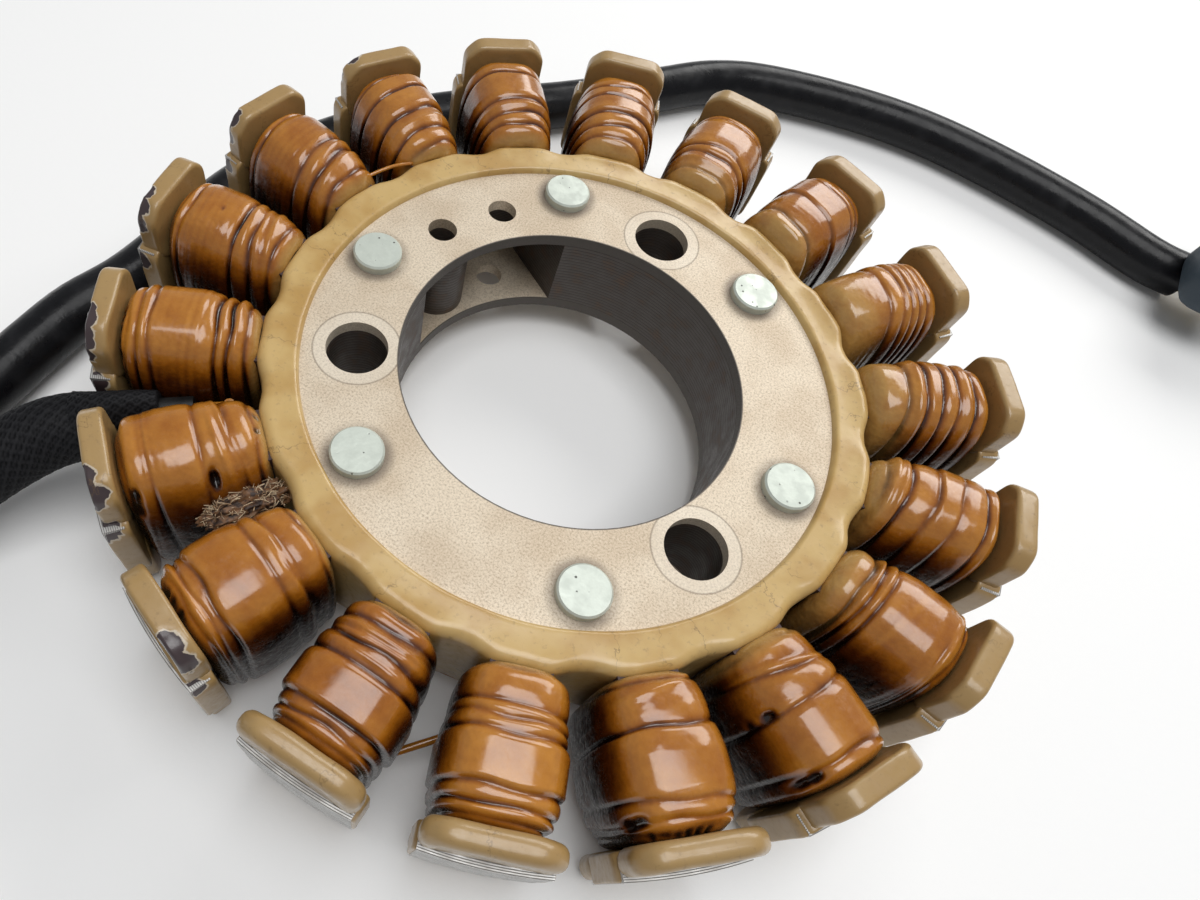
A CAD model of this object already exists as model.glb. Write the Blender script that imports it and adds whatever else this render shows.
"""Dress the wound stator: the photograph's camera, a pale studio, finishes and detailed pieces."""

import logging
import math
from dataclasses import dataclass
from enum import Enum
from typing import Optional, Sequence, Union

import bpy
import numpy as np
from mathutils import Matrix, Vector, noise


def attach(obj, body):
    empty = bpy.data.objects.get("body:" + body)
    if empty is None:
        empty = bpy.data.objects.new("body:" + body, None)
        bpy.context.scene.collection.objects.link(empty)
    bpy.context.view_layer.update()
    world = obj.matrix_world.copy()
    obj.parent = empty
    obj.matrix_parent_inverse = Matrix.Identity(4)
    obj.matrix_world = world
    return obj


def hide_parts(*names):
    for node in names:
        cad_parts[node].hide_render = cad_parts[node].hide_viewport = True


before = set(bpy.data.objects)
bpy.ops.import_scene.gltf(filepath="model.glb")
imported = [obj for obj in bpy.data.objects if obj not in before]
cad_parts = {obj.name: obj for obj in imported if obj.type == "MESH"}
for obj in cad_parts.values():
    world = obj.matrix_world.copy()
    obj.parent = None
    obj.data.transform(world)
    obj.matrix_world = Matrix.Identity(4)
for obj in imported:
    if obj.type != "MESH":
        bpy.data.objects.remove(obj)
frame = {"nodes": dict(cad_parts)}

log = logging.getLogger("stator")

MM = 0.001
ROOT = "root"
PHOTO_WIDTH_PX = 1200
PHOTO_HEIGHT_PX = 900

Colour = tuple[float, float, float]
Point = tuple[float, float, float]
Socket = bpy.types.NodeSocket
Value = Union[float, int, tuple, Socket]


class Slot(Enum):
    """Material slots of the record that new pieces take their finish from."""

    EPOXY = "tan_epoxy"
    WINDING = "varnished_winding"
    FIBRE = "fibre_sleeving"
    BRAID = "black_braid"
    TUBE = "black_tube"
    SLATE = "slate_plastic"


@dataclass(frozen=True)
class CoreSizes:
    """Sizes of the core that the dressed pieces are set against, in millimetres."""

    stack_h: float = 13.2
    low_face_z: float = 4.3
    poles: int = 18
    first_angle: float = 230.0

    @property
    def mid_z(self) -> float:
        """Height of the stack's middle."""
        return self.low_face_z + self.stack_h / 2

    @property
    def top_face_z(self) -> float:
        """Height of the upper plate's bare face."""
        return self.low_face_z + self.stack_h

    @property
    def pitch(self) -> float:
        """Angle from one pole to the next in degrees."""
        return 360.0 / self.poles

    def pole_angle(self, number: int) -> float:
        """Angle of a pole in degrees, from its coil's number."""
        return self.first_angle + (number - 1) * 360.0 / self.poles


CORE = CoreSizes()


# Small helpers on Blender's operators


def deselect_all() -> None:
    """Leave edit mode and clear the selection."""
    if bpy.context.object and bpy.context.object.mode != "OBJECT":
        bpy.ops.object.mode_set(mode="OBJECT")
    bpy.ops.object.select_all(action="DESELECT")


def activate(obj: bpy.types.Object) -> None:
    """Make one object the only selected and active one.

    Args:
        obj: The object.
    """
    deselect_all()
    obj.select_set(True)
    bpy.context.view_layer.objects.active = obj


def apply_modifiers(obj: bpy.types.Object) -> None:
    """Apply all of an object's modifiers in order.

    Args:
        obj: The object.
    """
    activate(obj)
    for name in [modifier.name for modifier in obj.modifiers]:
        bpy.ops.object.modifier_apply(modifier=name)


def settle(obj: bpy.types.Object) -> None:
    """Move an object's place, turn and scale into its mesh."""
    activate(obj)
    bpy.ops.object.transform_apply(location=True, rotation=True, scale=True)


def smooth(obj: bpy.types.Object, angle: Optional[float] = None) -> None:
    """Shade an object smooth, with edges over an angle in degrees kept sharp.

    Args:
        obj: The object to shade.
        angle: Sharp edge angle, or None to smooth every edge.
    """
    activate(obj)
    if angle is None:
        bpy.ops.object.shade_smooth()
    else:
        bpy.ops.object.shade_smooth_by_angle(angle=math.radians(angle))


def weld(obj: bpy.types.Object, distance: float = 1e-7) -> None:
    """Merge an object's doubled points and turn its faces outwards.

    Args:
        obj: The object.
        distance: How near two points are merged, in metres.
    """
    activate(obj)
    bpy.ops.object.mode_set(mode="EDIT")
    bpy.ops.mesh.select_all(action="SELECT")
    bpy.ops.mesh.remove_doubles(threshold=distance)
    bpy.ops.mesh.normals_make_consistent(inside=False)
    bpy.ops.object.mode_set(mode="OBJECT")


def join(pieces: Sequence[bpy.types.Object], name: str) -> bpy.types.Object:
    """Join objects into the first one.

    Args:
        pieces: Objects to join.
        name: Name of the result.

    Returns:
        The joined object.
    """
    deselect_all()
    for piece in pieces:
        piece.select_set(True)
    bpy.context.view_layer.objects.active = pieces[0]
    if len(pieces) > 1:
        bpy.ops.object.join()
    pieces[0].name = name
    return pieces[0]


def grid_surface(
    name: str, points: np.ndarray, marks: Optional[dict[str, np.ndarray]] = None
) -> bpy.types.Object:
    """Bend a flat grid so that its points lie where an array says, and weld what then coincides.

    Args:
        name: Name of the piece.
        points: Array of rows by columns by 3, in millimetres.
        marks: Named values for each point, kept as attributes of the mesh.

    Returns:
        The new object, at the origin.
    """
    rows, cols = points.shape[:2]
    deselect_all()
    bpy.ops.mesh.primitive_grid_add(x_subdivisions=cols - 1, y_subdivisions=rows - 1, size=1.0)
    obj = bpy.context.object
    obj.name = name
    mesh = obj.data
    flat = np.empty(len(mesh.vertices) * 3)
    mesh.vertices.foreach_get("co", flat)
    flat = flat.reshape(-1, 3)
    col = np.rint((flat[:, 0] + 0.5) * (cols - 1)).astype(int)
    row = np.rint((flat[:, 1] + 0.5) * (rows - 1)).astype(int)
    mesh.vertices.foreach_set("co", (points[row, col] * MM).ravel())
    for mark, values in (marks or {}).items():
        layer = mesh.attributes.new(mark, "FLOAT", "POINT")
        layer.data.foreach_set("value", values[row, col].astype(np.float32))
    mesh.update()
    weld(obj)
    smooth(obj)
    return obj


def dress(obj: bpy.types.Object, material: bpy.types.Material) -> None:
    """Give an object one material."""
    obj.data.materials.clear()
    obj.data.materials.append(material)


def seat(obj: bpy.types.Object, slot: Slot, *nodes: str) -> bpy.types.Object:
    """Put a finished piece on the part and report it.

    Args:
        obj: The finished piece.
        slot: The record's slot for its finish.
        nodes: CAD nodes that it stands for.

    Returns:
        The piece.
    """
    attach(obj, ROOT)
    if nodes:
        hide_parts(*nodes)
    count = len(obj.data.polygons) if obj.type == "MESH" else 0
    log.info("%s: %d faces, stands for %s", obj.name, count, ", ".join(nodes) or "nothing")
    return obj


# Finishes


class Bench:
    """A material in the making, with short calls for the nodes that the finishes share."""

    def __init__(self, name: str) -> None:
        """Start a material with one shader.

        Args:
            name: Name of the material.
        """
        self.material = bpy.data.materials.new(name)
        self.material.use_nodes = True
        self.tree = self.material.node_tree
        self.tree.nodes.clear()
        self.output = self.tree.nodes.new("ShaderNodeOutputMaterial")
        self.shader = self.tree.nodes.new("ShaderNodeBsdfPrincipled")
        self.tree.links.new(self.shader.outputs["BSDF"], self.output.inputs["Surface"])
        place = self.tree.nodes.new("ShaderNodeTexCoord")
        self.mm = self.vector("SCALE", place.outputs["Object"], scale=1.0 / MM)

    def plug(self, socket: Socket, value: Value) -> None:
        """Link a socket to another, or set its value.

        Args:
            socket: The socket to feed.
            value: Another socket or a plain value.
        """
        if isinstance(value, bpy.types.NodeSocket):
            self.tree.links.new(value, socket)
        elif isinstance(value, tuple) and len(value) == 3 and socket.type == "RGBA":
            socket.default_value = (*value, 1.0)
        else:
            socket.default_value = value

    def finish(self, **sockets: Value) -> bpy.types.Material:
        """Set the shader's sockets, named with underscores, and return the material.

        Args:
            sockets: Values or sockets by name.

        Returns:
            The material.
        """
        for name, value in sockets.items():
            self.plug(self.shader.inputs[name.replace("_", " ")], value)
        return self.material

    def vector(self, operation: str, a: Value, b: Optional[Value] = None, scale: float = 1.0) -> Socket:
        """Return the result of a vector operation.

        Args:
            operation: Name of the operation.
            a: First vector.
            b: Second vector, where there is one.
            scale: Factor for SCALE.

        Returns:
            The vector, or the number for LENGTH, DISTANCE and DOT_PRODUCT.
        """
        node = self.tree.nodes.new("ShaderNodeVectorMath")
        node.operation = operation
        self.plug(node.inputs[0], a)
        if b is not None:
            self.plug(node.inputs[1], b)
        if operation == "SCALE":
            node.inputs["Scale"].default_value = scale
        number = operation in ("LENGTH", "DISTANCE", "DOT_PRODUCT")
        return node.outputs["Value" if number else "Vector"]

    def math(self, operation: str, a: Value, b: Value = 0.0, clamp: bool = False) -> Socket:
        """Return the result of an operation on two numbers.

        Args:
            operation: Name of the operation.
            a: First number.
            b: Second number.
            clamp: Whether the result is held between 0 and 1.

        Returns:
            The socket with the result.
        """
        node = self.tree.nodes.new("ShaderNodeMath")
        node.operation = operation
        node.use_clamp = clamp
        self.plug(node.inputs[0], a)
        self.plug(node.inputs[1], b)
        return node.outputs[0]

    def span(
        self, value: Value, low: float, high: float, to_low: float = 0.0, to_high: float = 1.0
    ) -> Socket:
        """Return a number moved smoothly from one span to another, held at the ends.

        Args:
            value: The number.
            low: Start of its span.
            high: End of its span.
            to_low: Result at the start.
            to_high: Result at the end.

        Returns:
            The socket with the result.
        """
        node = self.tree.nodes.new("ShaderNodeMapRange")
        node.interpolation_type = "SMOOTHSTEP"
        for socket, given in zip(node.inputs, (value, low, high, to_low, to_high)):
            self.plug(socket, given)
        return node.outputs[0]

    def noise(self, scale: float, detail: float = 3.0, roughness: float = 0.55) -> Socket:
        """Return fractal noise, with its scale in waves for each millimetre.

        Args:
            scale: Waves for each millimetre.
            detail: Number of finer layers.
            roughness: Share of the finer layers.

        Returns:
            The socket with the result.
        """
        node = self.tree.nodes.new("ShaderNodeTexNoise")
        self.plug(node.inputs["Vector"], self.mm)
        self.plug(node.inputs["Scale"], scale)
        self.plug(node.inputs["Detail"], detail)
        self.plug(node.inputs["Roughness"], roughness)
        return node.outputs["Fac"]

    def cells(self, scale: float) -> Socket:
        """Return the distance to the nearest of scattered points.

        Args:
            scale: Points for each millimetre.

        Returns:
            The socket with the result.
        """
        node = self.tree.nodes.new("ShaderNodeTexVoronoi")
        self.plug(node.inputs["Vector"], self.mm)
        self.plug(node.inputs["Scale"], scale)
        return node.outputs["Distance"]

    def mark(self, name: str) -> Socket:
        """Return an attribute of the mesh as a number.

        Args:
            name: Name of the attribute.

        Returns:
            The socket with the result.
        """
        node = self.tree.nodes.new("ShaderNodeAttribute")
        node.attribute_name = name
        return node.outputs["Fac"]

    def ramp(self, value: Socket, *stops: tuple[float, Colour]) -> Socket:
        """Return a colour from a ramp of places and colours.

        Args:
            value: Place on the ramp.
            stops: Places and their colours.

        Returns:
            The socket with the result.
        """
        node = self.tree.nodes.new("ShaderNodeValToRGB")
        elements = node.color_ramp.elements
        while len(elements) < len(stops):
            elements.new(0.5)
        for element, (place, colour) in zip(elements, stops):
            element.position = place
            element.color = (*colour, 1.0)
        self.plug(node.inputs["Fac"], value)
        return node.outputs["Color"]

    def mix(self, share: Value, a: Value, b: Value) -> Socket:
        """Return one colour laid over another by a share.

        Args:
            share: Share of the second colour.
            a: First colour.
            b: Second colour.

        Returns:
            The socket with the result.
        """
        node = self.tree.nodes.new("ShaderNodeMix")
        node.data_type = "RGBA"
        self.plug(node.inputs["Factor"], share)
        self.plug(next(s for s in node.inputs if s.name == "A" and s.type == "RGBA"), a)
        self.plug(next(s for s in node.inputs if s.name == "B" and s.type == "RGBA"), b)
        return next(s for s in node.outputs if s.type == "RGBA")

    def bump(self, height: Socket, depth_mm: float, under: Optional[Socket] = None) -> Socket:
        """Return a surface normal raised by a height of up to some millimetres.

        Args:
            height: Height from 0 to 1.
            depth_mm: Height of 1 in millimetres.
            under: Normal that it is laid on.

        Returns:
            The socket with the result.
        """
        node = self.tree.nodes.new("ShaderNodeBump")
        node.inputs["Strength"].default_value = 1.0
        node.inputs["Distance"].default_value = depth_mm * MM
        self.plug(node.inputs["Height"], height)
        if under is not None:
            self.plug(node.inputs["Normal"], under)
        return node.outputs["Normal"]

    def radius(self) -> Socket:
        """Return the distance from the bore's axis in millimetres."""
        flat = self.vector("MULTIPLY", self.mm, (1.0, 1.0, 0.0))
        return self.vector("LENGTH", flat)

    def turn(self) -> Socket:
        """Return the angle round the bore's axis in whole turns.

        Returns:
            The socket with the result.
        """
        node = self.tree.nodes.new("ShaderNodeSeparateXYZ")
        self.plug(node.inputs[0], self.mm)
        return self.math("DIVIDE", self.math("ARCTAN2", node.outputs["Y"], node.outputs["X"]), 2 * math.pi)

    def height(self) -> Socket:
        """Return the height over the table in millimetres.

        Returns:
            The socket with the result.
        """
        node = self.tree.nodes.new("ShaderNodeSeparateXYZ")
        self.plug(node.inputs[0], self.mm)
        return node.outputs["Z"]


@dataclass(frozen=True)
class VarnishFinish:
    """Thick amber varnish over winding wire: dark where it pools between bands."""

    pool: Colour = (0.008, 0.002, 0.0006)
    deep: Colour = (0.085, 0.019, 0.002)
    amber: Colour = (0.31, 0.099, 0.006)
    crest: Colour = (0.52, 0.22, 0.03)
    climb: Colour = (0.45, 0.26, 0.075)
    level: float = 0.78
    wall_shade: float = 0.72
    wall_gloss: float = 0.2

    def make(self) -> bpy.types.Material:
        """Build the material.

        Returns:
            The material.
        """
        b = Bench("amber_varnish")
        cavity = b.mark("cavity")
        tone = b.noise(0.35, 3)
        fine = b.noise(2.2, 3)
        drift = b.math("MULTIPLY", b.math("SUBTRACT", tone, 0.5), 0.55)
        shade = b.math("MULTIPLY", b.mark("wall"), self.wall_shade)
        level = b.math("SUBTRACT", b.math("ADD", self.level, b.mark("tint")), shade)
        place = b.math("ADD", b.math("SUBTRACT", level, cavity), drift, clamp=True)
        colour = b.ramp(place, (0.0, self.pool), (0.28, self.deep), (0.62, self.amber), (1.0, self.crest))
        run = b.math("MULTIPLY", b.mark("climb"), b.span(tone, 0.3, 0.6, 0.5, 0.95))
        colour = b.mix(run, colour, self.climb)
        waves = b.bump(b.noise(0.55, 2), 0.17)
        skin = b.bump(fine, 0.02, waves)
        gloss = b.span(b.mark("wall"), 0.1, 0.7, 1.0, self.wall_gloss)
        return b.finish(
            Base_Color=colour, Roughness=b.span(fine, 0.3, 0.7, 0.22, 0.36), Normal=skin,
            Coat_Weight=gloss, Coat_Roughness=0.14, Coat_IOR=1.55, Specular_IOR_Level=0.15,
        )


@dataclass(frozen=True)
class EpoxyFinish:
    """Baked tan epoxy: soft gloss, honey patches and a fine craze of cracks."""

    tan: Colour = (0.55, 0.375, 0.145)
    honey: Colour = (0.45, 0.27, 0.08)
    grey: Colour = (0.34, 0.215, 0.085)
    stain: Colour = (0.13, 0.075, 0.03)
    bare: Colour = (0.045, 0.028, 0.03)
    rim: Colour = (0.55, 0.47, 0.36)
    cracks: float = 46.0
    tip_from: float = 44.0
    tip_to: float = 49.0
    tip_share: float = 0.85

    def make(self) -> bpy.types.Material:
        """Build the material.

        Returns:
            The material.
        """
        b = Bench("tan_epoxy")
        broad = b.noise(0.16, 3)
        speck = b.noise(1.6, 4, 0.65)
        base = b.mix(b.span(broad, 0.38, 0.66), self.tan, self.honey)
        outer = b.span(b.radius(), self.tip_from, self.tip_to)
        base = b.mix(b.math("MULTIPLY", outer, self.tip_share), base, self.grey)
        dirt = b.math("MULTIPLY", b.span(speck, 0.56, 0.74), 0.35)
        base = b.mix(dirt, base, self.stain)
        edge = b.math("ADD", b.mark("chip"), b.math("MULTIPLY", b.math("SUBTRACT", speck, 0.5), 0.22))
        base = b.mix(b.span(edge, 0.22, 0.30), base, self.rim)
        base = b.mix(b.span(edge, 0.33, 0.37), base, self.bare)
        wander = b.math("MULTIPLY", b.noise(0.7, 3), 1.1)
        strip = b.math("ADD", b.math("MULTIPLY", b.turn(), self.cracks), wander)
        offset = b.math("ABSOLUTE", b.math("SUBTRACT", b.math("FRACT", strip), 0.5))
        crack = b.span(offset, 0.0, 0.03, 1.0, 0.0)
        crack = b.math("MULTIPLY", crack, b.span(b.noise(0.12, 2), 0.5, 0.6))
        base = b.mix(b.math("MULTIPLY", crack, 0.55), base, self.stain)
        lumps = b.bump(b.noise(0.3, 2), 0.10)
        grain = b.bump(speck, 0.012, lumps)
        return b.finish(
            Base_Color=base, Roughness=b.span(speck, 0.3, 0.7, 0.28, 0.44), Normal=grain,
            Coat_Weight=0.35, Coat_Roughness=0.12,
        )


@dataclass(frozen=True)
class PlateFinish:
    """Bare pressed plate: speckled beige-grey, stained round the rivets, ringed by bolt heads."""

    pale: Colour = (0.70, 0.60, 0.465)
    beige: Colour = (0.59, 0.48, 0.35)
    speck: Colour = (0.29, 0.22, 0.15)
    stain: Colour = (0.14, 0.11, 0.085)
    ring: Colour = (0.77, 0.72, 0.62)
    wall: Colour = (0.085, 0.072, 0.06)
    oxide: Colour = (0.055, 0.030, 0.028)
    rivet_circle: float = 26.35
    rivets: int = 6
    halo: tuple[float, float] = (2.9, 4.3)
    bolt_circle: float = 24.0
    bolts: int = 3
    first_bolt: float = 90.0
    bolt_head_r: float = 4.7
    bore_edge: tuple[float, float] = (19.55, 19.7)
    bare_edge: tuple[float, float] = (30.6, 31.6)

    def marks(self, b: Bench, circle: float, count: int, first: float, low: float, high: float) -> Socket:
        """Return how near a place is to any of the points on a circle.

        Args:
            b: The material in the making.
            circle: Radius of the circle.
            count: Number of points.
            first: Angle of the first point in degrees.
            low: Distance up to which the mark is full.
            high: Distance at which the mark has gone.

        Returns:
            A share from 0 to 1.
        """
        total: Optional[Socket] = None
        for k in range(count):
            turn = math.radians(first + k * 360.0 / count)
            centre = (circle * math.cos(turn), circle * math.sin(turn), 0.0)
            flat = b.vector("MULTIPLY", b.mm, (1.0, 1.0, 0.0))
            near = b.span(b.vector("DISTANCE", flat, centre), low, high, 1.0, 0.0)
            total = near if total is None else b.math("MAXIMUM", total, near)
        return total

    def make(self) -> bpy.types.Material:
        """Build the material.

        Returns:
            The material.
        """
        b = Bench("bare_plate")
        broad = b.noise(0.12, 4)
        grain = b.noise(4.4, 5, 0.8)
        fleck = b.noise(6.0, 2, 0.6)
        base = b.mix(b.span(broad, 0.36, 0.64), self.pale, self.beige)
        base = b.mix(b.math("MULTIPLY", b.span(grain, 0.47, 0.62), 0.6), base, self.speck)
        base = b.mix(b.math("MULTIPLY", b.span(grain, 0.34, 0.44, 1.0, 0.0), 0.5), base, self.ring)
        base = b.mix(b.math("MULTIPLY", b.span(fleck, 0.6, 0.75), 0.4), base, self.stain)
        halo = self.marks(b, self.rivet_circle, self.rivets, 0.0, *self.halo)
        halo = b.math("MULTIPLY", halo, b.span(broad, 0.3, 0.6, 0.35, 0.8))
        base = b.mix(halo, base, self.stain)
        seat_r = self.bolt_head_r
        bolts = (self.bolt_circle, self.bolts, self.first_bolt)
        worn = self.marks(b, *bolts, seat_r - 0.1, seat_r + 0.1)
        rim = self.marks(b, *bolts, seat_r + 0.1, seat_r + 0.25)
        base = b.mix(b.math("MULTIPLY", b.math("SUBTRACT", rim, worn), 0.55), base, self.stain)
        base = b.mix(b.math("MULTIPLY", worn, 0.3), base, self.ring)
        base = b.mix(b.span(b.radius(), *self.bore_edge, 1.0, 0.0), base, self.wall)
        base = b.mix(b.span(b.radius(), *self.bare_edge), base, self.oxide)
        rough = b.bump(grain, 0.03)
        return b.finish(
            Base_Color=base, Metallic=0.25, Roughness=b.span(grain, 0.3, 0.7, 0.42, 0.62), Normal=rough,
        )


@dataclass(frozen=True)
class LaminationFinish:
    """Stacked sheets: dark in the bore, brighter on the ground tips, with a line for each sheet."""

    bore: Colour = (0.085, 0.07, 0.06)
    line: Colour = (0.022, 0.017, 0.014)
    ground: Colour = (0.60, 0.59, 0.57)
    rust: Colour = (0.15, 0.085, 0.05)
    sheet_mm: float = 0.5
    burr_mm: float = 0.2
    ground_from: float = 40.0
    ground_to: float = 44.0

    def make(self) -> bpy.types.Material:
        """Build the material.

        Returns:
            The material.
        """
        b = Bench("lamination_steel")
        wander = b.math("MULTIPLY", b.noise(0.22, 2), 0.12)
        outer = b.span(b.radius(), self.ground_from, self.ground_to)
        burr = b.math("MULTIPLY", b.math("DIVIDE", b.radius(), self.burr_mm), outer)
        count = b.math("ADD", b.math("DIVIDE", b.height(), self.sheet_mm), burr)
        sheet = b.math("FRACT", b.math("ADD", count, wander))
        seam = b.span(b.math("ABSOLUTE", b.math("SUBTRACT", sheet, 0.5)), 0.30, 0.5)
        base = b.mix(outer, self.bore, self.ground)
        grime = b.noise(0.5, 4)
        cover = b.math("SUBTRACT", 0.6, b.math("MULTIPLY", outer, 0.4))
        rust = b.math("MULTIPLY", b.span(grime, 0.5, 0.74), cover)
        base = b.mix(rust, base, self.rust)
        base = b.mix(b.math("MULTIPLY", seam, 0.75), base, self.line)
        groove = b.bump(b.math("SUBTRACT", 1.0, seam), 0.04)
        return b.finish(
            Base_Color=base, Metallic=0.35, Roughness=b.span(grime, 0.3, 0.7, 0.32, 0.55), Normal=groove,
        )


@dataclass(frozen=True)
class ZincFinish:
    """Pale cloudy zinc on the rivet heads, with small dark pits."""

    zinc: Colour = (0.60, 0.645, 0.575)
    dull: Colour = (0.52, 0.56, 0.50)
    pit: Colour = (0.07, 0.07, 0.06)

    def make(self) -> bpy.types.Material:
        """Build the material.

        Returns:
            The material.
        """
        b = Bench("zinc_plate")
        cloud = b.noise(0.6, 3)
        base = b.mix(b.span(cloud, 0.4, 0.65), self.zinc, self.dull)
        pit = b.span(b.cells(1.15), 0.10, 0.17, 1.0, 0.0)
        pit = b.math("MULTIPLY", pit, b.span(b.noise(0.9, 1), 0.42, 0.52))
        base = b.mix(b.math("MULTIPLY", pit, 0.9), base, self.pit)
        dents = b.bump(b.math("SUBTRACT", cloud, pit), 0.05)
        return b.finish(
            Base_Color=base, Metallic=0.35, Roughness=b.span(cloud, 0.3, 0.7, 0.34, 0.5), Normal=dents,
        )


@dataclass(frozen=True)
class CordFinish:
    """Plain finish of tube, leads, connector and blades, with dust and a soft gloss."""

    name: str
    body: Colour
    dust: Colour
    roughness: float
    wrinkle: float = 0.04
    coat: float = 0.0
    specular: float = 0.3

    def make(self) -> bpy.types.Material:
        """Build the material.

        Returns:
            The material.
        """
        b = Bench(self.name)
        film = b.noise(0.35, 4)
        specks = b.span(b.cells(0.55), 0.05, 0.09, 1.0, 0.0)
        haze = b.math("MULTIPLY", b.span(film, 0.5, 0.8), 0.18)
        share = b.math("ADD", haze, b.math("MULTIPLY", specks, 0.12))
        base = b.mix(share, self.body, self.dust)
        creases = b.bump(b.noise(0.3, 3), self.wrinkle * 3)
        skin = b.bump(b.noise(3.0, 2), self.wrinkle * 0.3, creases)
        return b.finish(
            Base_Color=base, Normal=skin,
            Roughness=b.span(film, 0.3, 0.7, self.roughness - 0.06, self.roughness + 0.08),
            Coat_Weight=self.coat, Coat_Roughness=0.1, Specular_IOR_Level=self.specular,
        )


@dataclass(frozen=True)
class BraidFinish:
    """Black braided yarn: worn on the crowns, with dark gaps between strands."""

    yarn: Colour = (0.007, 0.007, 0.008)
    gap: Colour = (0.001, 0.001, 0.001)
    worn: Colour = (0.02, 0.02, 0.022)

    def make(self) -> bpy.types.Material:
        """Build the material.

        Returns:
            The material.
        """
        b = Bench("black_braid")
        crown = b.mark("crown")
        base = b.ramp(crown, (0.0, self.gap), (0.45, self.yarn), (1.0, self.worn))
        fibres = b.bump(b.noise(4.5, 2), 0.05)
        return b.finish(Base_Color=base, Roughness=0.55, Normal=fibres, Specular_IOR_Level=0.09)


@dataclass(frozen=True)
class CrumbFinish:
    """Burnt fibre and varnish, as between two coils and on the star joint's sleeve."""

    name: str
    straw: Colour
    char: Colour

    def make(self) -> bpy.types.Material:
        """Build the material.

        Returns:
            The material.
        """
        b = Bench(self.name)
        tone = b.noise(1.4, 3)
        base = b.mix(b.span(tone, 0.4, 0.62), self.straw, self.char)
        return b.finish(Base_Color=base, Roughness=0.6, Normal=b.bump(b.noise(5.0, 2), 0.05))


class Palette:
    """All finishes of the stator, each made once."""

    def __init__(self) -> None:
        """Make the materials."""
        self.varnish = VarnishFinish().make()
        self.epoxy = EpoxyFinish().make()
        self.plate = PlateFinish().make()
        self.lamination = LaminationFinish().make()
        self.zinc = ZincFinish().make()
        self.braid = BraidFinish().make()
        self.crumb = CrumbFinish("burnt_varnish", (0.16, 0.075, 0.03), (0.02, 0.008, 0.004)).make()
        self.fibre = CrumbFinish("burnt_fibre", (0.52, 0.41, 0.27), (0.24, 0.14, 0.07)).make()
        self.tube = CordFinish(
            "black_tube", (0.004, 0.004, 0.005), (0.04, 0.04, 0.045), 0.3, coat=0.05, specular=0.2,
        ).make()
        self.lead = CordFinish("black_lead", (0.008, 0.008, 0.008), (0.07, 0.065, 0.06), 0.45).make()
        self.yellow = CordFinish("yellow_lead", (0.60, 0.46, 0.18), (0.35, 0.27, 0.12), 0.36, coat=0.2).make()
        self.slate = CordFinish("slate_rubber", (0.035, 0.05, 0.065), (0.12, 0.13, 0.14), 0.52, 0.03).make()
        self.blade = CordFinish("tinned_blade", (0.55, 0.55, 0.53), (0.3, 0.3, 0.29), 0.3, 0.01).make()


# Camera and studio


@dataclass(frozen=True)
class PhotoCamera:
    """The photograph's camera, found from the round edges and holes of the stator."""

    eye_mm: Point = (9.47, -55.2, 90.65)
    heading: float = 17.28
    below_level: float = 61.32
    roll: float = 15.85
    focal_px: float = 813.24
    centre_px: tuple[float, float] = (476.8, 467.3)
    sensor_mm: float = 36.0

    def make(self) -> bpy.types.Object:
        """Add the camera and make it the scene's own.

        Returns:
            The camera.
        """
        data = bpy.data.cameras.new("photo_camera")
        data.sensor_fit = "HORIZONTAL"
        data.sensor_width = self.sensor_mm
        data.lens = self.focal_px / PHOTO_WIDTH_PX * self.sensor_mm
        data.shift_x = (PHOTO_WIDTH_PX / 2 - self.centre_px[0]) / PHOTO_WIDTH_PX
        data.shift_y = (self.centre_px[1] - PHOTO_HEIGHT_PX / 2) / PHOTO_WIDTH_PX
        data.clip_start = 0.002
        camera = bpy.data.objects.new("photo_camera", data)
        bpy.context.scene.collection.objects.link(camera)
        turn = Matrix.Rotation(math.radians(self.heading), 4, "Z")
        tilt = Matrix.Rotation(math.radians(90.0 - self.below_level), 4, "X")
        roll = Matrix.Rotation(math.radians(self.roll), 4, "Z")
        camera.matrix_world = Matrix.Translation(Vector(self.eye_mm) * MM) @ turn @ tilt @ roll
        bpy.context.scene.camera = camera
        return camera


@dataclass(frozen=True)
class SoftLamp:
    """A rectangular lamp that points at the stator."""

    name: str
    at: Point
    size: tuple[float, float]
    radiance: float
    tint: Colour = (1.0, 1.0, 1.0)
    aim: Point = (0.0, 0.0, 0.01)

    def make(self) -> bpy.types.Object:
        """Add the lamp.

        Returns:
            The lamp.
        """
        data = bpy.data.lights.new(self.name, "AREA")
        data.shape = "RECTANGLE"
        data.size, data.size_y = self.size
        data.energy = self.radiance * self.size[0] * self.size[1] * math.pi
        data.color = self.tint
        lamp = bpy.data.objects.new(self.name, data)
        bpy.context.scene.collection.objects.link(lamp)
        way = Vector(self.aim) - Vector(self.at)
        turn = way.to_track_quat("-Z", "Y").to_matrix().to_4x4()
        lamp.matrix_world = Matrix.Translation(Vector(self.at)) @ turn
        return lamp


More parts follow.
